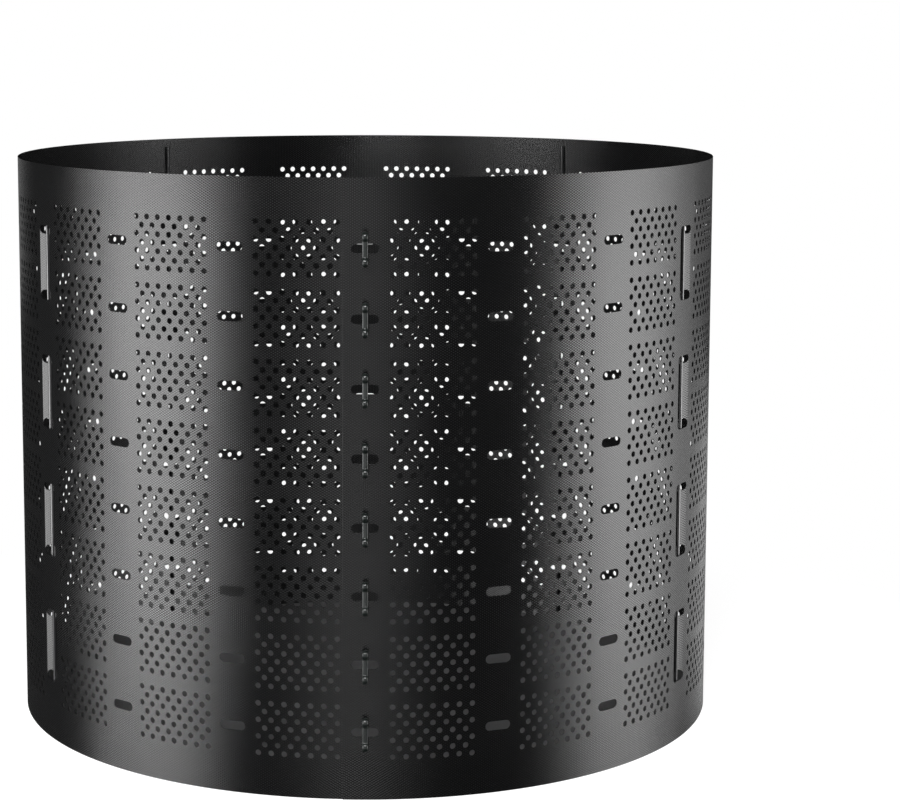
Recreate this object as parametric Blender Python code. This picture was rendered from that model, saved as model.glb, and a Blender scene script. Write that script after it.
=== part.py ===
"""Compost bin rolled from one sheet of plastic with openings, keyed at the seam and stiffened by four rods.

Metres, +Z up. The bin stands on Z = 0 and its seam faces -Y. The sheet winds once round as a slow spiral,
so that its two ends lie one over the other at the seam.
"""

import math

import bmesh
import bpy

# Sheet
COLUMNS = 18  # slot columns round the bin, the two that meet at the seam counted once
COLUMN_PITCH = 0.2  # between slot columns, along the sheet
ROWS = 8  # slot rows up the sheet
ROW_PITCH = 0.1016  # between slot rows, and from each rim to its nearest row
WALL = 0.0015  # thickness of the sheet
LAYER_GAP = 0.0003  # between the two layers at the seam
LAP_EDGE = 0.0123  # sheet left beyond the slots at each end of the sheet
SLOT_LENGTH = 0.0405
SLOT_HEIGHT = 0.014
PATCH_HOLES = 46  # small round holes beside each slot, halfway to the next column
HOLE_DIAMETER = 0.009

# Rods
ROD_DIAMETER = 0.0065
ROD_LENGTH = 0.9
ROD_GAP = 0.0003  # between a rod and the sheet, on each side of it
ROD_COLUMNS = (3, 7, 11, 15)  # slot columns that a rod is threaded through, counted from the inner end
ROD_SIDES = 16

# Seam keys
HANDLE_LENGTH = 0.051
HANDLE_DEPTH = 0.0182  # from the neck to the top of the round ends
HANDLE_END = 0.0143  # diameter of the two round ends
SADDLE_DROP = 0.0044  # how far the middle lies below the round ends
BAR_DEPTH = 0.0098  # crossbar inside the bin
BAR_POINT = 0.0069  # length of each pointed end of the crossbar
BAR_PLAY = 0.00075  # between each end of the crossbar and the slot that it passes
KEY_PLAY = 0.0029  # between the flat of the key and the slot that it passes, on each side
TURN_PLAY = 0.0004  # between the neck's corners and the slot, as the key turns
SEAT_GAP = 0.0004  # between the key and the sheet, inside and outside
KEY_CHAMFER = 0.0009
END_STEPS = 8  # flat facets round each round end

RADIUS = COLUMNS * COLUMN_PITCH / math.tau  # middle of the sheet, halfway round
HEIGHT = (ROWS + 1) * ROW_PITCH
LAYER_PITCH = WALL + LAYER_GAP

# A slot is an octagon: its ends are cut at 45 degrees, close round a half circle.
SLOT_TIP = SLOT_LENGTH / 2
SLOT_RISE = SLOT_HEIGHT / 2
TIP_RISE = SLOT_RISE * math.tan(math.pi / 8)
SLOT_FLAT = SLOT_TIP - SLOT_RISE + TIP_RISE
LAP_MARGIN = SLOT_TIP + LAP_EDGE

# A six-sided opening with upright sides stands for each patch of holes, as large as they are together.
OPENING_SIDE = HOLE_DIAMETER * math.sqrt(PATCH_HOLES * math.pi / (6 * math.sqrt(3)))
OPENING_HALF = OPENING_SIDE * math.sqrt(3) / 2

# The facet between the slots of a column lies this much nearer to the bin's axis than the round wall.
FACET_COSINE = math.cos(SLOT_FLAT / RADIUS)
FACET_SINK = RADIUS * (1 - FACET_COSINE)

# A groove is pressed in just far enough for the rod to pass outside it and inside the plain wall.
GROOVE_DEPTH = WALL + FACET_SINK + 2 * ROD_GAP + ROD_DIAMETER
GROOVE_FLOOR = ROD_DIAMETER / 2

KEY_THICKNESS = SLOT_HEIGHT - 2 * KEY_PLAY
NECK_HALF = math.sqrt((SLOT_RISE - TURN_PLAY) ** 2 - (KEY_THICKNESS / 2) ** 2)
BAR_HALF = SLOT_TIP - BAR_PLAY
SEAM_OUTSIDE = (RADIUS + (LAYER_PITCH + WALL) / 2) * FACET_COSINE
SEAM_INSIDE = (RADIUS - (LAYER_PITCH + WALL) / 2) * FACET_COSINE
NECK_LENGTH = SEAM_OUTSIDE - SEAM_INSIDE + 2 * SEAT_GAP
KEY_REACH = SEAT_GAP + HANDLE_DEPTH

# The bin's axis stands back by half the reach of the keys, so that the whole part is centred on the origin.
AXIS_Y = KEY_REACH / 2


def clear_scene():
    for obj in list(bpy.data.objects):
        bpy.data.objects.remove(obj)


def plastic(name, color, roughness):
    material = bpy.data.materials.new(name)
    material.use_nodes = True
    shader = material.node_tree.nodes["Principled BSDF"]
    shader.inputs["Base Color"].default_value = (*color, 1)
    shader.inputs["Roughness"].default_value = roughness
    shader.inputs["Metallic"].default_value = 0
    material.diffuse_color = (*color, 1)
    return material


def coated_steel(name, color, roughness):
    material = plastic(name, color, roughness)
    material.node_tree.nodes["Principled BSDF"].inputs["Coat Weight"].default_value = 0.3
    return material


def new_object(name, mesh, material):
    obj = bpy.data.objects.new(name, mesh)
    bpy.context.scene.collection.objects.link(obj)
    mesh.materials.clear()
    mesh.materials.append(material)
    return obj


def mesh_from(bm, name):
    bmesh.ops.recalc_face_normals(bm, faces=bm.faces)
    mesh = bpy.data.meshes.new(name)
    bm.to_mesh(mesh)
    bm.free()
    return mesh


def round_wall(along, offset):
    """X and Y of a point on the rolled sheet: along runs from the inner end's slots, offset is outward."""
    turn = along / RADIUS
    reach = RADIUS + LAYER_PITCH * (turn / math.tau - 0.5) + offset
    return -reach * math.sin(turn), AXIS_Y - reach * math.cos(turn)


def slot_height(row):
    return row * ROW_PITCH


def strip_ends(row, rise):
    """Lowest and highest point of the sheet between a slot row and the next, where the slots rise so far."""
    low = slot_height(row) + rise if row > 0 else 0.0
    high = slot_height(row + 1) - rise if row < ROWS else HEIGHT
    return low, high


def has_groove(column, row):
    """Grooves lie under every other strip of a rod's column, counted down from the top row of slots."""
    return column in ROD_COLUMNS and 1 <= row < ROWS and (ROWS - row) % 2 == 1


def strip_faces(column, row):
    """Quads of the sheet between two slots of one column, as (along, height, depth) points."""
    middle = column * COLUMN_PITCH
    lines = [(SLOT_TIP, TIP_RISE, 0.0), (SLOT_FLAT, SLOT_RISE, 0.0)]
    if has_groove(column, row):
        sunk = GROOVE_DEPTH * (SLOT_TIP - SLOT_FLAT) / (SLOT_TIP - GROOVE_FLOOR)
        lines = [
            (SLOT_TIP, TIP_RISE, 0.0),
            (SLOT_FLAT, SLOT_RISE, sunk),
            (GROOVE_FLOOR, SLOT_RISE, GROOVE_DEPTH),
        ]
    lines = [(-across, rise, depth) for across, rise, depth in lines] + lines[::-1]
    for (left, left_rise, left_depth), (right, right_rise, right_depth) in zip(lines, lines[1:]):
        left_low, left_high = strip_ends(row, left_rise)
        right_low, right_high = strip_ends(row, right_rise)
        yield [
            (middle + left, left_low, left_depth),
            (middle + right, right_low, right_depth),
            (middle + right, right_high, right_depth),
            (middle + left, left_high, left_depth),
        ]


def line_heights(rise):
    """Heights of the points on an upright line: the foot, one point below and one above each row, the rim."""
    heights = [0.0]
    for row in range(1, ROWS + 1):
        heights += [slot_height(row) - rise, slot_height(row) + rise]
    return heights + [HEIGHT]


def ladder_faces(line, rise, plain_line):
    """Triangles between a line with points beside each row and a plain line with points at its ends only."""
    heights = line_heights(rise)
    half = len(heights) // 2
    for step, (low, high) in enumerate(zip(heights, heights[1:])):
        far = 0.0 if step < half else HEIGHT
        yield [(line, low, 0.0), (plain_line, far, 0.0), (line, high, 0.0)]
    yield [(plain_line, 0.0, 0.0), (plain_line, HEIGHT, 0.0), (line, heights[half], 0.0)]


def opening_faces(side_line, middle_line):
    """Quads above, below and between one column's openings, from their upright sides to their tips."""
    sides = line_heights(OPENING_SIDE / 2)
    tips = line_heights(OPENING_SIDE)
    for low in range(0, len(sides), 2):
        yield [
            (side_line, sides[low], 0.0),
            (middle_line, tips[low], 0.0),
            (middle_line, tips[low + 1], 0.0),
            (side_line, sides[low + 1], 0.0),
        ]


def sheet_faces():
    """Every face of the sheet's outer side, flat on the sheet, as (along, height, depth) points."""
    for column in range(COLUMNS + 1):
        middle = column * COLUMN_PITCH
        for row in range(ROWS + 1):
            yield from strip_faces(column, row)
        for side in (-1, 1):
            plain_line = middle + side * LAP_MARGIN
            yield from ladder_faces(middle + side * SLOT_TIP, TIP_RISE, plain_line)
            inner_end = column == 0 and side < 0
            outer_end = column == COLUMNS and side > 0
            if not inner_end and not outer_end:
                patch_middle = middle + side * COLUMN_PITCH / 2
                side_line = patch_middle - side * OPENING_HALF
                yield from ladder_faces(side_line, OPENING_SIDE / 2, plain_line)
                yield from opening_faces(side_line, patch_middle)


def make_sheet(material):
    """Rolls the flat faces up twice, half a wall out and half a wall in, and closes the edges between."""
    bm = bmesh.new()
    corners = {}
    edge_uses = {}

    def corner_pair(point):
        key = tuple(round(value, 7) for value in point)
        if key not in corners:
            along, height, depth = point
            corners[key] = [
                bm.verts.new((*round_wall(along, side * WALL / 2 - depth), height)) for side in (1, -1)
            ]
        return key, corners[key]

    for face in sheet_faces():
        keys, pairs = zip(*(corner_pair(point) for point in face))
        bm.faces.new([pair[0] for pair in pairs])
        bm.faces.new([pair[1] for pair in reversed(pairs)])
        for start, end in zip(keys, keys[1:] + keys[:1]):
            edge_uses.setdefault(frozenset((start, end)), []).append((start, end))
    for uses in edge_uses.values():
        if len(uses) == 1:
            start, end = uses[0]
            bm.faces.new([corners[end][0], corners[start][0], corners[start][1], corners[end][1]])
    return new_object("sheet", mesh_from(bm, "sheet"), material)


def round_end():
    """Outline of the handle's round end, from underside to saddle, as (along the handle, outward)."""
    radius = HANDLE_END / 2
    middle = (HANDLE_LENGTH / 2 - radius, HANDLE_DEPTH - radius)
    to_neck = (NECK_HALF - middle[0], -middle[1])
    distance = math.hypot(*to_neck)
    start = math.atan2(to_neck[1], to_neck[0]) + math.acos(radius / distance)
    if start < -math.pi:
        start += math.tau
    end = math.pi - math.asin((radius - SADDLE_DROP) / radius)
    for step in range(END_STEPS + 1):
        angle = start + (end - start) * step / END_STEPS
        yield middle[0] + radius * math.cos(angle), middle[1] + radius * math.sin(angle)


def key_outline():
    """Half outline of a key from the foot of its crossbar to the saddle of its handle."""
    foot = -NECK_LENGTH - BAR_DEPTH
    return [
        (BAR_HALF - BAR_POINT, foot),
        (BAR_HALF, -NECK_LENGTH - BAR_DEPTH / 2),
        (BAR_HALF - BAR_POINT, -NECK_LENGTH),
        (NECK_HALF, -NECK_LENGTH),
        (NECK_HALF, 0.0),
        *round_end(),
    ]


def key_mesh():
    """A key with its handle upright along Z, pointing out along -Y from the neck's outer end at the origin."""
    bm = bmesh.new()
    half = key_outline()
    outline = half + [(-along, outward) for along, outward in reversed(half)]
    flat = KEY_THICKNESS / 2 - KEY_CHAMFER
    near = bm.faces.new([bm.verts.new((-flat, -outward, along)) for along, outward in outline])
    pushed = bmesh.ops.extrude_face_region(bm, geom=[near], use_keep_orig=True)
    for element in pushed["geom"]:
        if isinstance(element, bmesh.types.BMVert):
            element.co.x = flat
    bmesh.ops.recalc_face_normals(bm, faces=bm.faces)
    caps = [face for face in bm.faces if len(face.verts) == len(outline)]
    bmesh.ops.inset_individual(bm, faces=caps, thickness=KEY_CHAMFER, depth=KEY_CHAMFER)
    return mesh_from(bm, "key")


def make_keys(material):
    """One key in each row of slots at the seam, locked with its handle upright."""
    mesh = key_mesh()
    for row in range(1, ROWS + 1):
        key = new_object(f"key_{row}", mesh, material)
        key.location = (0, AXIS_Y - SEAM_OUTSIDE - SEAT_GAP, slot_height(row))


def rod_mesh():
    bm = bmesh.new()
    radius = ROD_DIAMETER / 2
    bmesh.ops.create_cone(
        bm, cap_ends=True, segments=ROD_SIDES, radius1=radius, radius2=radius, depth=ROD_LENGTH
    )
    bmesh.ops.translate(bm, verts=bm.verts, vec=(0, 0, ROD_LENGTH / 2))
    mesh = mesh_from(bm, "rod")
    mesh.shade_smooth()
    mesh.set_sharp_from_angle(angle=math.radians(40))
    return mesh


def make_rods(material):
    """Upright rods, each just inside the plain wall and just outside the grooves of its column."""
    mesh = rod_mesh()
    inward = FACET_SINK + WALL / 2 + ROD_GAP + ROD_DIAMETER / 2
    for number, column in enumerate(ROD_COLUMNS, 1):
        rod = new_object(f"rod_{number}", mesh, material)
        rod.location = (*round_wall(column * COLUMN_PITCH, -inward), 0)


clear_scene()
make_sheet(plastic("sheet_plastic", (0.035, 0.037, 0.038), 0.42))
make_keys(plastic("key_plastic", (0.022, 0.026, 0.025), 0.38))
make_rods(coated_steel("rod_coating", (0.03, 0.03, 0.032), 0.25))
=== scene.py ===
# Compost bin rolled from one perforated plastic sheet, with its seam keys and upright rods.
import math
import bpy
import numpy as np
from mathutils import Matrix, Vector


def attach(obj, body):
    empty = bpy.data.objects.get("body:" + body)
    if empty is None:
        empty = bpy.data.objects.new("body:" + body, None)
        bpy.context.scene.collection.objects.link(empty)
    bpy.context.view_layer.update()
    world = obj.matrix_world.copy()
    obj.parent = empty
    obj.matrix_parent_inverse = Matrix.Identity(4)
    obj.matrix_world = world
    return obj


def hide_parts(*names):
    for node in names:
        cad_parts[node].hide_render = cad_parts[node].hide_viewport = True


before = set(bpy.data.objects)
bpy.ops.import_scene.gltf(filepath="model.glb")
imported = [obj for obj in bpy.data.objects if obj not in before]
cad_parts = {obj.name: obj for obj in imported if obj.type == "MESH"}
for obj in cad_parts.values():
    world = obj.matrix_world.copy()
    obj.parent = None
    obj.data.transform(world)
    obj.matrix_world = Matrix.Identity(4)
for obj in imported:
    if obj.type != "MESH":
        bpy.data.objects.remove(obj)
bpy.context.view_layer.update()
print("frame loaded:", len(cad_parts), "nodes")

theBin = {
    "columns": 18,  # slot columns round the bin
    "columnPitch": 0.2,
    "rows": 8,  # slot rows up the bin
    "rowPitch": 0.1016,
    "wall": 0.0015,
    "layerPitch": 0.0018,  # from the middle of one seam layer to the middle of the other
    "axisY": 0.0093,  # the bin's axis stands this far behind the origin
}
radius = theBin["columns"] * theBin["columnPitch"] / math.tau
height = (theBin["rows"] + 1) * theBin["rowPitch"]


# Turn is along / radius. Reach is radius + layerPitch * (turn / full turn - 1/2) + lift - depth, so the
# sheet is a slow spiral: x = -reach * sin(turn), y = axisY - reach * cos(turn).
def rolled(flat, lift):
    turn = flat[..., 0] / radius
    reach = radius + theBin["layerPitch"] * (turn / math.tau - 0.5) + lift - flat[..., 2]
    x = -reach * np.sin(turn)
    y = theBin["axisY"] - reach * np.cos(turn)
    return np.stack([x, y, flat[..., 1]], axis=-1)


# Outward direction plus slope times the direction along the sheet, made one long.
def rolledNormals(along, slope):
    turn = along / radius
    across = -np.sin(turn) - slope * np.cos(turn)
    back = -np.cos(turn) + slope * np.sin(turn)
    size = np.hypot(across, back)
    return np.stack([across / size, back / size, np.zeros_like(size)], axis=-1)


# Shared shader groups

def newGroup(name, inputs, outputs):
    group = bpy.data.node_groups.new(name, "ShaderNodeTree")
    for label, kind, value in inputs:
        socket = group.interface.new_socket(label, in_out="INPUT", socket_type=kind)
        socket.default_value = value
    for label, kind in outputs:
        group.interface.new_socket(label, in_out="OUTPUT", socket_type=kind)
    entry = group.nodes.new("NodeGroupInput")
    leave = group.nodes.new("NodeGroupOutput")
    return group, entry, leave


def mathNode(tree, operation, first, second=None, third=None):
    node = tree.nodes.new("ShaderNodeMath")
    node.operation = operation
    for socket, value in zip(node.inputs, (first, second, third)):
        if value is None:
            continue
        if isinstance(value, (int, float)):
            socket.default_value = value
        else:
            tree.links.new(value, socket)
    return node.outputs[0]


def noiseNode(tree, vector, scale, detail):
    node = tree.nodes.new("ShaderNodeTexNoise")
    node.inputs["Detail"].default_value = detail
    tree.links.new(scale, node.inputs["Scale"])
    tree.links.new(vector, node.inputs["Vector"])
    return node.outputs["Fac"]


# Emboss: a staggered field of flat bumps, cos(2 pi along / pitch along) * cos(2 pi up / pitch up) high.
def embossGroup():
    group, entry, leave = newGroup(
        "embossedGrain",
        [
            ("Vector", "NodeSocketVector", (0, 0, 0)),
            ("Pitch Along", "NodeSocketFloat", 0.0062),
            ("Pitch Up", "NodeSocketFloat", 0.0038),
        ],
        [("Height", "NodeSocketFloat")],
    )
    split = group.nodes.new("ShaderNodeSeparateXYZ")
    group.links.new(entry.outputs["Vector"], split.inputs[0])
    waves = []
    for axis, pitch in enumerate(("Pitch Along", "Pitch Up")):
        turns = mathNode(group, "DIVIDE", split.outputs[axis], entry.outputs[pitch])
        waves.append(mathNode(group, "COSINE", mathNode(group, "MULTIPLY", turns, math.tau)))
    group.links.new(mathNode(group, "MULTIPLY", *waves), leave.inputs["Height"])
    return group


handling = {
    "blotchDetail": 4.0,
    "grainDetail": 2.0,
    "dustStart": 0.2,  # blotch * grain where dust begins
    "dustFull": 0.42,  # and where it lies full
}


# Handling: slow blotches change the gloss, and fine dust lies in small specks where blotch * grain is high.
# Roughness is its own value + spread * (2 * blotch - 1), as the noise runs from 0 to 1.
def handlingGroup():
    group, entry, leave = newGroup(
        "handledSurface",
        [
            ("Vector", "NodeSocketVector", (0, 0, 0)),
            ("Color", "NodeSocketColor", (0.02, 0.02, 0.02, 1)),
            ("Dust Color", "NodeSocketColor", (0.2, 0.19, 0.17, 1)),
            ("Dust", "NodeSocketFloat", 0.05),
            ("Roughness", "NodeSocketFloat", 0.4),
            ("Spread", "NodeSocketFloat", 0.06),
            ("Blotch Scale", "NodeSocketFloat", 9.0),
            ("Grain Scale", "NodeSocketFloat", 900.0),
        ],
        [
            ("Color", "NodeSocketColor"),
            ("Roughness", "NodeSocketFloat"),
            ("Height", "NodeSocketFloat"),
        ],
    )
    place = entry.outputs["Vector"]
    blotch = noiseNode(group, place, entry.outputs["Blotch Scale"], handling["blotchDetail"])
    grain = noiseNode(group, place, entry.outputs["Grain Scale"], handling["grainDetail"])
    speck = mathNode(group, "MULTIPLY", blotch, grain)
    reveal = group.nodes.new("ShaderNodeMapRange")
    reveal.inputs["From Min"].default_value = handling["dustStart"]
    reveal.inputs["From Max"].default_value = handling["dustFull"]
    group.links.new(speck, reveal.inputs["Value"])
    share = mathNode(group, "MULTIPLY", reveal.outputs[0], entry.outputs["Dust"])
    mix = group.nodes.new("ShaderNodeMix")
    mix.data_type = "RGBA"
    group.links.new(share, mix.inputs["Factor"])
    group.links.new(entry.outputs["Color"], mix.inputs["A"])
    group.links.new(entry.outputs["Dust Color"], mix.inputs["B"])
    group.links.new(mix.outputs["Result"], leave.inputs["Color"])
    swing = mathNode(group, "MULTIPLY", mathNode(group, "SUBTRACT", blotch, 0.5), entry.outputs["Spread"])
    gloss = mathNode(group, "MULTIPLY_ADD", swing, 2.0, entry.outputs["Roughness"])
    group.links.new(gloss, leave.inputs["Roughness"])
    group.links.new(grain, leave.inputs["Height"])
    return group


embossedGrain = embossGroup()
handledSurface = handlingGroup()

allFinishes = {
    "refraction": 1.5,
    "shine": 0.5,  # the level that reflects as this refraction says
    "coatRoughness": 0.1,
}

finishes = {
    "sheetPlastic": {
        "color": (0.0042, 0.0043, 0.0045, 1),
        "roughness": 0.2,
        "spread": 0.03,
        "dust": 0.01,
        "dustColor": (0.16, 0.155, 0.14, 1),
        "blotchScale": 7.0,
        "grainScale": 700.0,
        "grainBump": 0.00002,
        "embossPitch": (0.0062, 0.0038),
        "embossBump": 0.00014,
        "embossGloss": 0.1,  # rougher by this on the bumps, smoother between them
        "embossShine": 0.17,  # reflects more by this on the bumps, less between them
        "coat": 0.0,
    },
    "keyPlastic": {
        "color": (0.0075, 0.0105, 0.0095, 1),
        "roughness": 0.28,
        "spread": 0.05,
        "dust": 0.03,
        "dustColor": (0.12, 0.13, 0.12, 1),
        "blotchScale": 60.0,
        "grainScale": 2500.0,
        "grainBump": 0.00002,
        "embossPitch": None,
        "coat": 0.0,
    },
    "rodCoating": {
        "color": (0.02, 0.02, 0.021, 1),
        "roughness": 0.2,
        "spread": 0.06,
        "dust": 0.02,
        "dustColor": (0.2, 0.2, 0.19, 1),
        "blotchScale": 40.0,
        "grainScale": 1500.0,
        "grainBump": 0.00003,
        "embossPitch": None,
        "coat": 1.0,
    },
}


def finish(name):
    look = finishes[name]
    material = bpy.data.materials.new(name)
    material.use_nodes = True
    tree = material.node_tree
    shader = tree.nodes["Principled BSDF"]
    shader.inputs["Metallic"].default_value = 0.0
    shader.inputs["IOR"].default_value = allFinishes["refraction"]
    shader.inputs["Coat Weight"].default_value = look["coat"]
    shader.inputs["Coat Roughness"].default_value = allFinishes["coatRoughness"]
    place = tree.nodes.new("ShaderNodeTexCoord").outputs["Object"]
    surface = tree.nodes.new("ShaderNodeGroup")
    surface.node_tree = handledSurface
    for label in ("Color", "Dust Color", "Dust", "Roughness", "Spread", "Blotch Scale", "Grain Scale"):
        setting = label[0].lower() + label[1:].replace(" ", "")
        surface.inputs[label].default_value = look[setting]
    tree.links.new(place, surface.inputs["Vector"])
    tree.links.new(surface.outputs["Color"], shader.inputs["Base Color"])
    tree.links.new(surface.outputs["Roughness"], shader.inputs["Roughness"])
    grain = tree.nodes.new("ShaderNodeBump")
    grain.inputs["Distance"].default_value = look["grainBump"]
    tree.links.new(surface.outputs["Height"], grain.inputs["Height"])
    last = grain
    if look["embossPitch"]:
        flatPlace = tree.nodes.new("ShaderNodeUVMap")
        flatPlace.uv_map = "sheetMetres"
        emboss = tree.nodes.new("ShaderNodeGroup")
        emboss.node_tree = embossedGrain
        emboss.inputs["Pitch Along"].default_value = look["embossPitch"][0]
        emboss.inputs["Pitch Up"].default_value = look["embossPitch"][1]
        tree.links.new(flatPlace.outputs["UV"], emboss.inputs["Vector"])
        bumps = emboss.outputs["Height"]
        pressed = tree.nodes.new("ShaderNodeBump")
        pressed.inputs["Distance"].default_value = look["embossBump"]
        tree.links.new(bumps, pressed.inputs["Height"])
        tree.links.new(grain.outputs["Normal"], pressed.inputs["Normal"])
        last = pressed
        gloss = mathNode(tree, "MULTIPLY_ADD", bumps, look["embossGloss"], surface.outputs["Roughness"])
        tree.links.new(gloss, shader.inputs["Roughness"])
        shine = mathNode(tree, "MULTIPLY_ADD", bumps, look["embossShine"], allFinishes["shine"])
        tree.links.new(shine, shader.inputs["Specular IOR Level"])
    tree.links.new(last.outputs["Normal"], shader.inputs["Normal"])
    material.diffuse_color = look["color"]
    return material


materials = {name: finish(name) for name in finishes}
print("materials made:", ", ".join(materials))


# Each piece rides a body of the frame and stands in for one of its nodes.
def newPiece(name, mesh, material, body, slot, *nodes):
    piece = bpy.data.objects.new(name, mesh)
    bpy.context.scene.collection.objects.link(piece)
    mesh.materials.append(materials[material])
    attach(piece, body)
    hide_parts(*nodes)


# Perforated sheet

sheet = {
    "slotTip": 0.02025,  # half the length of a slot
    "slotRise": 0.007,  # half its height, and the radius of its round ends
    "slotSteps": 4,  # facets in a quarter of a round end
    "bridgeSteps": 4,  # facets from the straight part's end to its middle
    "lapEnd": 0.03255,  # from the seam's slots to the sheet's end
    "endRounding": 0.0003,  # radius of the edge at the outer layer's end
    "endTurn": 65,  # degrees that this edge turns in
    "endSteps": 3,
    "rodColumns": (3, 7, 11, 15),
    "grooveDepth": 0.00883,
    "groovePower": 1.4,  # depth falls off as distance to this power
    "holeRadius": 0.0045,
    "holePitch": 0.01988,
    "holeRise": 0.01254,  # between rows of holes
    "holeRows": 7,
    "holesInRow": 7,
    "cutColumns": (0, 6, 12, 18),  # the sheet is kept as three pieces, cut beside these columns
    "weld": 1e-6,  # points that are the same on this grid are one
    "sharpAngle": 31,  # degrees between faces that keep a hard edge
}
patchSide = theBin["columnPitch"] / 2 - sheet["holesInRow"] / 2 * sheet["holePitch"]
rowHeights = theBin["rowPitch"] * np.arange(1, theBin["rows"] + 1)


# Points carry along, up, depth and slope. Depth and slope stay nought on the plain sheet.
def plainPoints(along, up):
    along, up = np.broadcast_arrays(along, up)
    flat = np.zeros_like(along)
    return np.stack([along, up, flat, flat], axis=-1)


# Each step of a grid becomes one four-sided face, listed along first and then up.
def gridFaces(points):
    low, high = points[:-1], points[1:]
    faces = np.stack([low[:, :-1], low[:, 1:], high[:, 1:], high[:, :-1]], axis=2)
    return faces.reshape(-1, 4, points.shape[-1])


# Heights where rows of hole cells meet, from the foot to the rim.
def levelHeights():
    steps = (np.arange(sheet["holeRows"] + 1) - sheet["holeRows"] / 2) * sheet["holeRise"]
    return np.concatenate([[0.0], (rowHeights[:, None] + steps).ravel(), [height]])


# Half the slot's height at a distance from its middle: a round end of slotRise, then straight.
def slotEdge(along):
    beyond = np.clip(np.abs(along) - (sheet["slotTip"] - sheet["slotRise"]), 0, sheet["slotRise"])
    return np.sqrt(sheet["slotRise"] ** 2 - beyond**2)


# Upright lines of a column's strips: straight + slotRise * cos(angle) round a slot's ends, then even steps.
def slotLines():
    straight = sheet["slotTip"] - sheet["slotRise"]
    ends = straight + sheet["slotRise"] * np.cos(np.linspace(0, math.pi / 2, sheet["slotSteps"] + 1))
    middle = np.linspace(straight, 0, sheet["bridgeSteps"] + 1)[1:]
    half = np.concatenate([ends, middle])
    return np.concatenate([-half, half[-2::-1]])


# Strip between two slots: up runs from one slot's edge to the next in the shares that the side levels have.
# A groove is grooveDepth * (1 - (distance / slotTip) ^ groovePower) deep, the same all the way up, and its
# slope is how fast that depth grows along the sheet.
def columnFaces(hasRod):
    along = slotLines()
    edge = slotEdge(along)
    levels = levelHeights()
    faces = []
    for strip in range(theBin["rows"] + 1):
        low = strip * theBin["rowPitch"]
        high = low + theBin["rowPitch"]
        between = levels[(levels > low) & (levels < high)]
        share = (np.concatenate([[low], between, [high]]) - low) / theBin["rowPitch"]
        foot = low + (edge if strip > 0 else 0 * edge)
        head = high - (edge if strip < theBin["rows"] else 0 * edge)
        points = plainPoints(along[None, :], foot + share[:, None] * (head - foot))
        if hasRod and 0 < strip < theBin["rows"] and (theBin["rows"] - strip) % 2 == 1:
            ratio = np.abs(along) / sheet["slotTip"]
            power = sheet["groovePower"]
            fall = sheet["grooveDepth"] * power * ratio ** (power - 1) / sheet["slotTip"]
            points[..., 2] = sheet["grooveDepth"] * (1 - ratio**power)
            points[..., 3] = -np.sign(along) * fall
        faces.append(gridFaces(points))
    return faces


# One face for each height in the arrays that its corners hold.
def cornerFaces(corners):
    return np.stack([plainPoints(*corner) for corner in corners], axis=1)


# Plain strip beside a column, between the line of slot tips and a line further out. The face beside each
# slot has a fifth corner at the slot's tip.
def sideFaces(side, outer):
    levels = levelHeights()
    low, high = levels[:-1], levels[1:]
    tip = np.full_like(low, side * sheet["slotTip"])
    far = np.full_like(low, side * outer)
    middle = (low + high) / 2
    besideSlot = np.abs(middle[:, None] - rowHeights).min(axis=1) < sheet["weld"]
    corners = [(tip, low), (far, low), (far, high), (tip, high), (tip, middle)]
    if side < 0:
        corners = corners[::-1]
    five = cornerFaces(corners)
    four = np.delete(five, 4 if side > 0 else 0, axis=1)
    return [four[~besideSlot], five[besideSlot]]


# Rounded edge at the outer layer's end: along grows with sin(angle), depth is rounding * (1 - cos(angle)).
def endFaces():
    angle = np.radians(np.linspace(0, sheet["endTurn"], sheet["endSteps"] + 1))
    along = sheet["lapEnd"] + sheet["endRounding"] * (np.sin(angle) - math.sin(angle[-1]))
    points = plainPoints(along[None, :], levelHeights()[:, None])
    points[..., 2] = sheet["endRounding"] * (1 - np.cos(angle))
    points[..., 3] = np.tan(angle)
    return [gridFaces(points)]


# Six five-sided faces close the cell round a twelve-sided hole. Each has two of the hole's sides, the first
# from -30 to 30 degrees, and one stretch of the cell's edge.
def holeFaces(centres):
    angles = np.radians(30 * np.arange(-1, 12))
    rim = sheet["holeRadius"] * np.stack([np.cos(angles), np.sin(angles)], axis=-1)
    wide, tall = sheet["holePitch"] / 2, sheet["holeRise"] / 2
    right = [(wide, -tall), (wide, tall)]
    left = [(-wide, tall), (-wide, -tall)]
    edge = np.array([*right, (0, tall), *left, (0, -tall), right[0]])
    start = rim[:-1:2]
    cell = np.stack([start, edge[:-1], edge[1:], rim[2::2], rim[1::2]], axis=1)
    placed = (centres[:, None, None, :] + cell).reshape(-1, 5, 2)
    return plainPoints(placed[..., 0], placed[..., 1])


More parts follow.
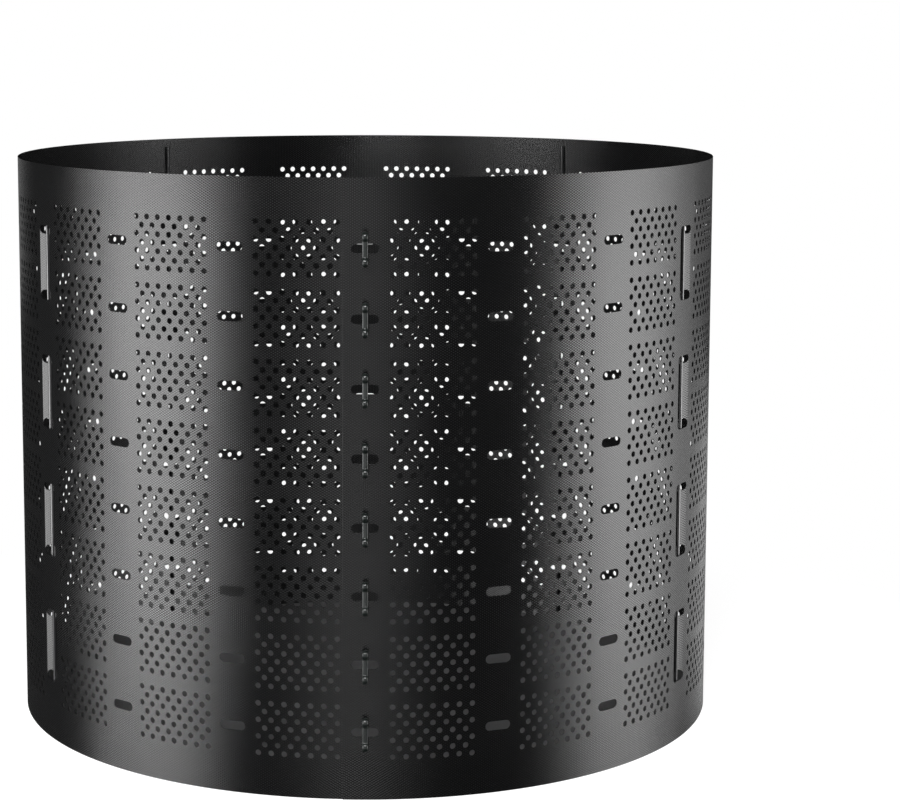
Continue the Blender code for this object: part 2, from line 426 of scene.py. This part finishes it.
# Patch of holes between two columns: rows of seven and rows of six by turns, half a pitch apart, and the
# plain bands above, below and between the patches.
def patchFaces():
    pitch, rise = sheet["holePitch"], sheet["holeRise"]
    middle = theBin["columnPitch"] / 2
    half = sheet["holesInRow"] / 2 * pitch
    lines = middle + np.linspace(-half, half, 2 * sheet["holesInRow"] + 1)
    faces = []
    for row in range(sheet["holeRows"]):
        up = rowHeights + (row - (sheet["holeRows"] - 1) / 2) * rise
        count = sheet["holesInRow"] - row % 2
        along = middle + (np.arange(count) - (count - 1) / 2) * pitch
        centres = np.stack(np.meshgrid(along, up), axis=-1).reshape(-1, 2)
        faces.append(holeFaces(centres))
        if row % 2:
            low, high = up - rise / 2, up + rise / 2
            for near, far in (lines[:2], lines[-2:]):
                faces.append(cornerFaces([(near, low), (far, low), (far, high), (near, high)]))
    bands = levelHeights()
    bandLow = bands[:: sheet["holeRows"] + 1]
    bandHigh = bands[1 :: sheet["holeRows"] + 1]
    for low, high in zip(bandLow, bandHigh):
        faces.append(gridFaces(plainPoints(lines[None, :], np.array([[low], [high]]))))
    return faces


def moved(faces, along):
    shift = np.array([along, 0, 0, 0])
    return [block + shift for block in faces]


# Outer skin, inner skin half a wall to each side, and a wall face on every edge that only one face uses.
def sheetMesh(name, faces):
    corners = np.vstack([block.reshape(-1, 4) for block in faces])
    places = np.round(corners[:, :3] / sheet["weld"]).astype(np.int64)
    _, first, index = np.unique(places, axis=0, return_index=True, return_inverse=True)
    index = index.reshape(-1)
    points = corners[first]
    count = len(points)
    sizes = [block.shape[:2] for block in faces]
    stops = np.cumsum([rows * width for rows, width in sizes])[:-1]
    blocks = [part.reshape(size) for part, size in zip(np.split(index, stops), sizes)]
    slopes = [part.reshape(size) for part, size in zip(np.split(corners[:, 3], stops), sizes)]
    sides = [np.stack([block, np.roll(block, -1, axis=1)], axis=-1) for block in blocks]
    edges = np.vstack([side.reshape(-1, 2) for side in sides])
    pairs = edges.min(axis=1) * count + edges.max(axis=1)
    _, place, uses = np.unique(pairs, return_index=True, return_counts=True)
    rim = edges[place[uses == 1]]
    walls = np.stack([rim[:, 0], rim[:, 1], rim[:, 1] + count, rim[:, 0] + count], axis=1)
    outer = [block[:, ::-1] for block in blocks]
    inner = [block + count for block in blocks]
    lists = [face for block in (*outer, *inner, walls) for face in block.tolist()]
    mesh = bpy.data.meshes.new(name)
    half = theBin["wall"] / 2
    skins = np.vstack([rolled(points, half), rolled(points, -half)])
    mesh.from_pydata(skins.tolist(), [], lists)
    mesh.shade_smooth()
    mesh.set_sharp_from_angle(angle=math.radians(sheet["sharpAngle"]))
    loops = np.concatenate([block.ravel() for block in (*outer, *inner, walls)]) % count
    flatPlaces = points[loops, :2].astype(np.float32)
    mesh.uv_layers.new(name="sheetMetres").data.foreach_set("uv", flatPlaces.ravel())
    slope = np.concatenate([part[:, ::-1].ravel() for part in slopes] + [part.ravel() for part in slopes])
    normals = rolledNormals(points[loops[: len(slope)], 0], slope)
    normals[len(slope) // 2 :] *= -1  # the inner skin faces the other way
    mesh.normals_split_custom_set(np.vstack([normals, np.zeros((walls.size, 3))]).tolist())
    return mesh


plainColumn = columnFaces(False)
rodColumn = columnFaces(True)
patch = patchFaces()
cuts = sheet["cutColumns"]
roundingStart = sheet["lapEnd"] - sheet["endRounding"] * math.sin(math.radians(sheet["endTurn"]))
# The first piece also has the inner layer's end at the seam, and the last piece the outer layer's.
for number, (start, end) in enumerate(zip(cuts, cuts[1:]), 1):
    faces = []
    if start == 0:
        faces += plainColumn + sideFaces(-1, sheet["lapEnd"]) + sideFaces(1, patchSide)
    for column in range(start, end):
        faces += moved(patch, column * theBin["columnPitch"])
        after = column + 1
        outer = patchSide if after < theBin["columns"] else roundingStart
        threaded = rodColumn if after in sheet["rodColumns"] else plainColumn
        beside = threaded + sideFaces(-1, patchSide) + sideFaces(1, outer)
        faces += moved(beside, after * theBin["columnPitch"])
    if end == theBin["columns"]:
        faces += moved(endFaces(), end * theBin["columnPitch"])
    name = f"perforatedSheet_{number}"
    newPiece(name, sheetMesh(name, faces), "sheetPlastic", "sheet_body", "sheet_plastic", "sheet")
    print(name, "made:", sum(len(block) for block in faces), "faces on each side")


# Seam keys

key = {
    "seat": -0.56548,  # Y of the neck's outer end
    "thickness": 0.0082,
    "rounding": 0.0014,  # of the edges of the neck and the crossbar
    "handleRounding": 0.0029,  # of the edges of the handle
    "handleStart": 0.007,  # the rounding grows up to this far out from the sheet
    "roundSteps": 6,
    "handleHalf": 0.0255,
    "handleDepth": 0.0181,
    "ballRadius": 0.00715,
    "saddleDrop": 0.0044,
    "neckHalf": 0.00517,
    "neckLength": 0.0041,
    "barHalf": 0.0195,
    "barPoint": 0.0069,
    "barDepth": 0.0098,
    "arcPoints": 27,  # round one end of the handle
    "cornerSteps": 5,
    # how far each corner's curve reaches, from the crossbar's foot to the neck's outer end
    "cornerReach": (0.0016, 0.0020, 0.0016, 0.0008, 0.0018),
    "saddleReach": (0.0012,),
}


# Each corner of an open line is replaced by a curve (1-w)^2 * start + 2w(1-w) * corner + w^2 * end, where
# start and end lie the given distance from the corner.
def roundCorners(line, reach):
    line = np.asarray(line, float)
    back = line[:-2] - line[1:-1]
    ahead = line[2:] - line[1:-1]
    back *= (reach / np.hypot(*back.T))[:, None]
    ahead *= (reach / np.hypot(*ahead.T))[:, None]
    w = np.linspace(0, 1, key["cornerSteps"] + 1)[None, :, None]
    bend = line[1:-1, None] + (1 - w) ** 2 * back[:, None] + w**2 * ahead[:, None]
    return np.vstack([line[:1], bend.reshape(-1, 2), line[-1:]])


# Half outline of a key, as along the handle and outward: crossbar, neck, sloping underside, round end and
# saddle. The underside leaves the neck and touches the round end.
def keyHalf():
    ball = np.array([key["handleHalf"] - key["ballRadius"], key["handleDepth"] - key["ballRadius"]])
    foot = -key["neckLength"] - key["barDepth"]
    belly = -key["neckLength"] - key["barDepth"] / 2
    toNeck = np.array([key["neckHalf"], 0.0]) - ball
    distance = np.hypot(*toNeck)
    start = math.atan2(toNeck[1], toNeck[0]) + math.acos(key["ballRadius"] / distance)
    saddleRise = key["handleDepth"] - key["saddleDrop"]
    end = math.pi - math.asin((saddleRise - ball[1]) / key["ballRadius"])
    turn = np.linspace(start, end, key["arcPoints"])
    arc = ball + key["ballRadius"] * np.stack([np.cos(turn), np.sin(turn)], axis=-1)
    lower = [
        (0.0, foot),
        (key["barHalf"] - key["barPoint"], foot),
        (key["barHalf"], belly),
        (key["barHalf"] - key["barPoint"], -key["neckLength"]),
        (key["neckHalf"], -key["neckLength"]),
        (key["neckHalf"], 0.0),
        arc[0],
    ]
    saddle = roundCorners([arc[-2], arc[-1], (0.0, saddleRise)], key["saddleReach"])
    return np.vstack([roundCorners(lower, key["cornerReach"])[:-1], arc[:-1], saddle[1:]])


# Four-sided faces between neighbouring rings of points, and one face to close each end.
def ringFaces(rings, count):
    index = np.arange(rings * count).reshape(rings, count)
    low, high = index[:-1], index[1:]
    lowNext, highNext = np.roll(low, -1, axis=1), np.roll(high, -1, axis=1)
    sides = np.stack([low, lowNext, highNext, high], axis=-1).reshape(-1, 4)
    return sides.tolist() + [index[0, ::-1].tolist(), index[-1].tolist()]


# The outline is carried across the thickness. Near each side it draws in by rounding * (1 - cos(angle))
# along its own normal, while the side moves out by rounding * sin(angle). The rounding is larger on the
# handle.
def keyMesh():
    half = keyHalf()
    outline = np.vstack([half, half[-2:0:-1] * (-1, 1)])
    ahead = np.roll(outline, -1, axis=0) - np.roll(outline, 1, axis=0)
    normal = np.stack([ahead[:, 1], -ahead[:, 0]], axis=-1) / np.hypot(*ahead.T)[:, None]
    angle = np.linspace(0, math.pi / 2, key["roundSteps"] + 1)
    angle = np.concatenate([-angle[::-1], angle])[:, None]
    grown = np.clip(outline[:, 1] / key["handleStart"], 0, 1)
    rounding = key["rounding"] + (key["handleRounding"] - key["rounding"]) * grown
    side = np.repeat([[-1.0], [1.0]], key["roundSteps"] + 1, axis=0)
    across = side * (key["thickness"] / 2 - rounding) + rounding * np.sin(angle)
    drawn = outline - normal * (rounding * (1 - np.cos(angle)))[:, :, None]
    along, outward = drawn[..., 0], drawn[..., 1]
    points = np.stack([across, -outward, along], axis=-1)
    tilt = np.broadcast_to(np.cos(angle), along.shape)
    sideways = np.broadcast_to(np.sin(angle), along.shape)
    facing = np.stack([sideways, -normal[:, 1] * tilt, normal[:, 0] * tilt], axis=-1)
    return points.reshape(-1, 3), ringFaces(*along.shape), facing.reshape(-1, 3)


keyPoints, keyFaces, keyNormals = keyMesh()
for row in range(1, theBin["rows"] + 1):
    name = f"seamKey_{row}"
    mesh = bpy.data.meshes.new(name)
    place = keyPoints + (0, key["seat"], row * theBin["rowPitch"])
    mesh.from_pydata(place.tolist(), [], keyFaces)
    mesh.shade_smooth()
    mesh.normals_split_custom_set_from_vertices(keyNormals.tolist())
    newPiece(name, mesh, "keyPlastic", f"key_{row}_body", "key_plastic", f"key_{row}")
print("seam keys made:", theBin["rows"])


# Rods

rod = {
    "radius": 0.00325,
    "length": 0.9,
    "chamfer": 0.0005,
    "chamferBend": 0.3,  # where the chamfer bends, as a share of it
    "sides": 28,
    "sharpAngle": 30,  # degrees between faces that keep a hard edge
    "facetSink": 0.00022758,  # the solid's wall is flat between slots and lies this much further in
    "gap": 0.0003,  # between a rod and that wall
}
rodInward = rod["facetSink"] + theBin["wall"] / 2 + rod["gap"] + rod["radius"]  # from the sheet's middle


# A circle carried up a profile of radius against height, with a small bent chamfer at each end.
def rodMesh(name, centre):
    wide, cut, top = rod["radius"], rod["chamfer"], rod["length"]
    bend = rod["chamferBend"] * cut
    radii = np.array([wide - cut, wide - bend, wide, wide, wide - bend, wide - cut])
    heights = np.array([0, bend, cut, top - cut, top - bend, top])
    turn = np.linspace(0, math.tau, rod["sides"], endpoint=False)
    x = centre[0] + radii[:, None] * np.cos(turn)
    y = centre[1] + radii[:, None] * np.sin(turn)
    points = np.stack([x, y, np.broadcast_to(heights[:, None], x.shape)], axis=-1)
    mesh = bpy.data.meshes.new(name)
    mesh.from_pydata(points.reshape(-1, 3).tolist(), [], ringFaces(*x.shape))
    mesh.shade_smooth()
    mesh.set_sharp_from_angle(angle=math.radians(rod["sharpAngle"]))
    return mesh


for number, column in enumerate(sheet["rodColumns"], 1):
    name = f"uprightRod_{number}"
    axis = rolled(np.array([column * theBin["columnPitch"], 0.0, 0.0]), -rodInward)
    mesh = rodMesh(name, axis)
    newPiece(name, mesh, "rodCoating", f"rod_{number}_body", "rod_coating", f"rod_{number}")
print("rods made:", len(sheet["rodColumns"]))


# Floor, world, lights and camera

stage = {
    "floorRadius": 1.3,
    "floorSides": 96,
    "floorColor": (0.35, 0.35, 0.35, 1),
    "floorGlow": 0.9,  # outside the bin
    "fadeStart": 0.8,  # distance from the bin's axis
    "fadeEnd": 1.25,
    "room": 0.04,  # world level in front
    "behind": 0.03,  # world level behind
    "roomEnd": -0.1,  # Y of the direction where the level starts to change
    "behindStart": 0.9,  # and where it has changed
}


def nodeTree(owner):
    owner.use_nodes = True
    tree = owner.node_tree
    tree.nodes.clear()
    return tree


# The floor is a plain diffuse disc round the bin's axis. To the camera it also glows outside the bin, and
# fades to white towards its edge, so that it meets the white world without a line and keeps the bin's
# shadow. It doesn't stand in the way of the lamps or of reflections, so that the long lamps are mirrored
# down to the bin's foot.
def makeFloor():
    turn = np.linspace(0, math.tau, stage["floorSides"], endpoint=False)
    rim = stage["floorRadius"] * np.stack([np.cos(turn), np.sin(turn), 0 * turn], axis=-1)
    mesh = bpy.data.meshes.new("floor")
    mesh.from_pydata(rim.tolist(), [], [list(range(stage["floorSides"]))])
    floor = bpy.data.objects.new("floor", mesh)
    floor.location = (0, theBin["axisY"], 0)
    bpy.context.scene.collection.objects.link(floor)
    material = bpy.data.materials.new("paleFloor")
    tree = nodeTree(material)
    place = tree.nodes.new("ShaderNodeTexCoord").outputs["Object"]
    length = tree.nodes.new("ShaderNodeVectorMath")
    length.operation = "LENGTH"
    tree.links.new(place, length.inputs[0])
    fade = tree.nodes.new("ShaderNodeMapRange")
    fade.interpolation_type = "SMOOTHSTEP"
    fade.inputs["From Min"].default_value = stage["fadeStart"]
    fade.inputs["From Max"].default_value = stage["fadeEnd"]
    tree.links.new(length.outputs["Value"], fade.inputs["Value"])
    path = tree.nodes.new("ShaderNodeLightPath")
    diffuse = tree.nodes.new("ShaderNodeBsdfDiffuse")
    diffuse.inputs["Color"].default_value = stage["floorColor"]
    glow = tree.nodes.new("ShaderNodeEmission")
    outside = mathNode(tree, "GREATER_THAN", length.outputs["Value"], radius)
    level = mathNode(tree, "MULTIPLY", outside, stage["floorGlow"])
    strength = mathNode(tree, "MULTIPLY", path.outputs["Is Camera Ray"], level)
    tree.links.new(strength, glow.inputs["Strength"])
    near = tree.nodes.new("ShaderNodeAddShader")
    tree.links.new(diffuse.outputs[0], near.inputs[0])
    tree.links.new(glow.outputs[0], near.inputs[1])
    white = tree.nodes.new("ShaderNodeEmission")
    mix = tree.nodes.new("ShaderNodeMixShader")
    faded = mathNode(tree, "MULTIPLY", fade.outputs[0], path.outputs["Is Camera Ray"])
    tree.links.new(faded, mix.inputs[0])
    tree.links.new(near.outputs[0], mix.inputs[1])
    tree.links.new(white.outputs[0], mix.inputs[2])
    clear = tree.nodes.new("ShaderNodeBsdfTransparent")
    passing = mathNode(tree, "MAXIMUM", path.outputs["Is Glossy Ray"], path.outputs["Is Shadow Ray"])
    whole = tree.nodes.new("ShaderNodeMixShader")
    tree.links.new(passing, whole.inputs[0])
    tree.links.new(mix.outputs[0], whole.inputs[1])
    tree.links.new(clear.outputs[0], whole.inputs[2])
    tree.links.new(whole.outputs[0], tree.nodes.new("ShaderNodeOutputMaterial").inputs["Surface"])
    mesh.materials.append(material)


# The world is white to the camera. For light and reflections it is a dim room, dimmest behind the bin.
def makeWorld():
    world = bpy.data.worlds.new("studio")
    bpy.context.scene.world = world
    tree = nodeTree(world)
    split = tree.nodes.new("ShaderNodeSeparateXYZ")
    tree.links.new(tree.nodes.new("ShaderNodeTexCoord").outputs["Generated"], split.inputs[0])
    reach = tree.nodes.new("ShaderNodeMapRange")
    reach.interpolation_type = "SMOOTHSTEP"
    reach.inputs["From Min"].default_value = stage["roomEnd"]
    reach.inputs["From Max"].default_value = stage["behindStart"]
    reach.inputs["To Min"].default_value = stage["room"]
    reach.inputs["To Max"].default_value = stage["behind"]
    tree.links.new(split.outputs[1], reach.inputs["Value"])
    path = tree.nodes.new("ShaderNodeLightPath")
    level = mathNode(tree, "MAXIMUM", reach.outputs[0], path.outputs["Is Camera Ray"])
    glow = tree.nodes.new("ShaderNodeBackground")
    glow.inputs["Color"].default_value = (1, 1, 1, 1)
    tree.links.new(level, glow.inputs["Strength"])
    tree.links.new(glow.outputs[0], tree.nodes.new("ShaderNodeOutputWorld").inputs["Surface"])


lamps = {  # azimuth from the front towards the right in degrees, metres, and radiance
    "leftEdge": {"azimuth": -48.5, "away": 3.0, "foot": -0.6, "width": 0.35, "tall": 1.9, "level": 5.2},
    "leftInner": {"azimuth": -60, "away": 3.0, "foot": -0.6, "width": 0.9, "tall": 1.9, "level": 7.7},
    "leftOuter": {"azimuth": -78.5, "away": 3.0, "foot": -0.6, "width": 0.9, "tall": 1.9, "level": 6.2},
    "leftLow": {"azimuth": -68, "away": 3.0, "foot": -1.6, "width": 1.75, "tall": 1.0, "level": 1.8},
    "rightInner": {"azimuth": 73, "away": 3.0, "foot": -0.6, "width": 1, "tall": 1.9, "level": 5.8},
    "rightOuter": {"azimuth": 91, "away": 3.0, "foot": -0.6, "width": 0.9, "tall": 1.9, "level": 4.4},
    "rightEdge": {"azimuth": 106, "away": 3.0, "foot": -0.6, "width": 0.6, "tall": 1.9, "level": 2},
    "rightLow": {"azimuth": 86, "away": 3.0, "foot": -1.6, "width": 2.2, "tall": 1.0, "level": 1.9},
    "rightSide": {"azimuth": 121, "away": 3.0, "foot": -0.9, "width": 0.8, "tall": 2.0, "level": 0.73},
    "rightBack": {"azimuth": 142, "away": 3.0, "foot": -0.9, "width": 1, "tall": 0.95, "level": 0.74},
    "rightBackHigh": {"azimuth": 142, "away": 3.0, "foot": 0.1, "width": 1, "tall": 0.9, "level": 0.13},
    "leftBackHigh": {"azimuth": -150, "away": 3.0, "foot": 0.32, "width": 0.8, "tall": 0.78, "level": 0.22},
    "frontHigh": {"azimuth": -10, "away": 3.0, "foot": 2.5, "width": 1.5, "tall": 0.5, "level": 62},
    "front": {"azimuth": -3, "away": 4.4, "foot": -1.2, "width": 1.6, "tall": 1.8, "level": 1.6},
}


# Each lamp is an upright sheet of light that faces the bin's axis. Its power is pi * level * area.
def makeLamps():
    for name, lamp in lamps.items():
        azimuth = math.radians(lamp["azimuth"])
        toLamp = Vector((math.sin(azimuth), -math.cos(azimuth), 0)) * lamp["away"]
        data = bpy.data.lights.new(name, "AREA")
        data.shape = "RECTANGLE"
        data.size = lamp["width"]
        data.size_y = lamp["tall"]
        data.energy = lamp["level"] * math.pi * lamp["width"] * lamp["tall"]
        light = bpy.data.objects.new(name, data)
        light.location = toLamp + Vector((0, theBin["axisY"], lamp["foot"] + lamp["tall"] / 2))
        light.rotation_euler = (-toLamp).to_track_quat("-Z", "Y").to_euler()
        bpy.context.scene.collection.objects.link(light)


view = {
    "sensor": 36.0,  # millimetres
    "lens": 91.66,  # millimetres
    "shiftX": 0.0944,  # share of the picture's width, as the next
    "shiftY": -0.12,
    "distance": 3.823,  # from the bin's axis
    "height": 1.1454,
    "tilt": 7.012,  # degrees below level
    "clipEnd": 100.0,
}


def makeCamera():
    data = bpy.data.cameras.new("camera")
    data.lens = view["lens"]
    data.sensor_width = view["sensor"]
    data.shift_x = view["shiftX"]
    data.shift_y = view["shiftY"]
    data.clip_end = view["clipEnd"]
    camera = bpy.data.objects.new("camera", data)
    camera.location = (0, theBin["axisY"] - view["distance"], view["height"])
    camera.rotation_euler = (math.radians(90 - view["tilt"]), 0, 0)
    bpy.context.scene.collection.objects.link(camera)
    bpy.context.scene.camera = camera


makeFloor()
makeWorld()
makeLamps()
makeCamera()
bpy.context.scene.view_settings.view_transform = "Standard"
print("studio made:", len(lamps), "lamps")
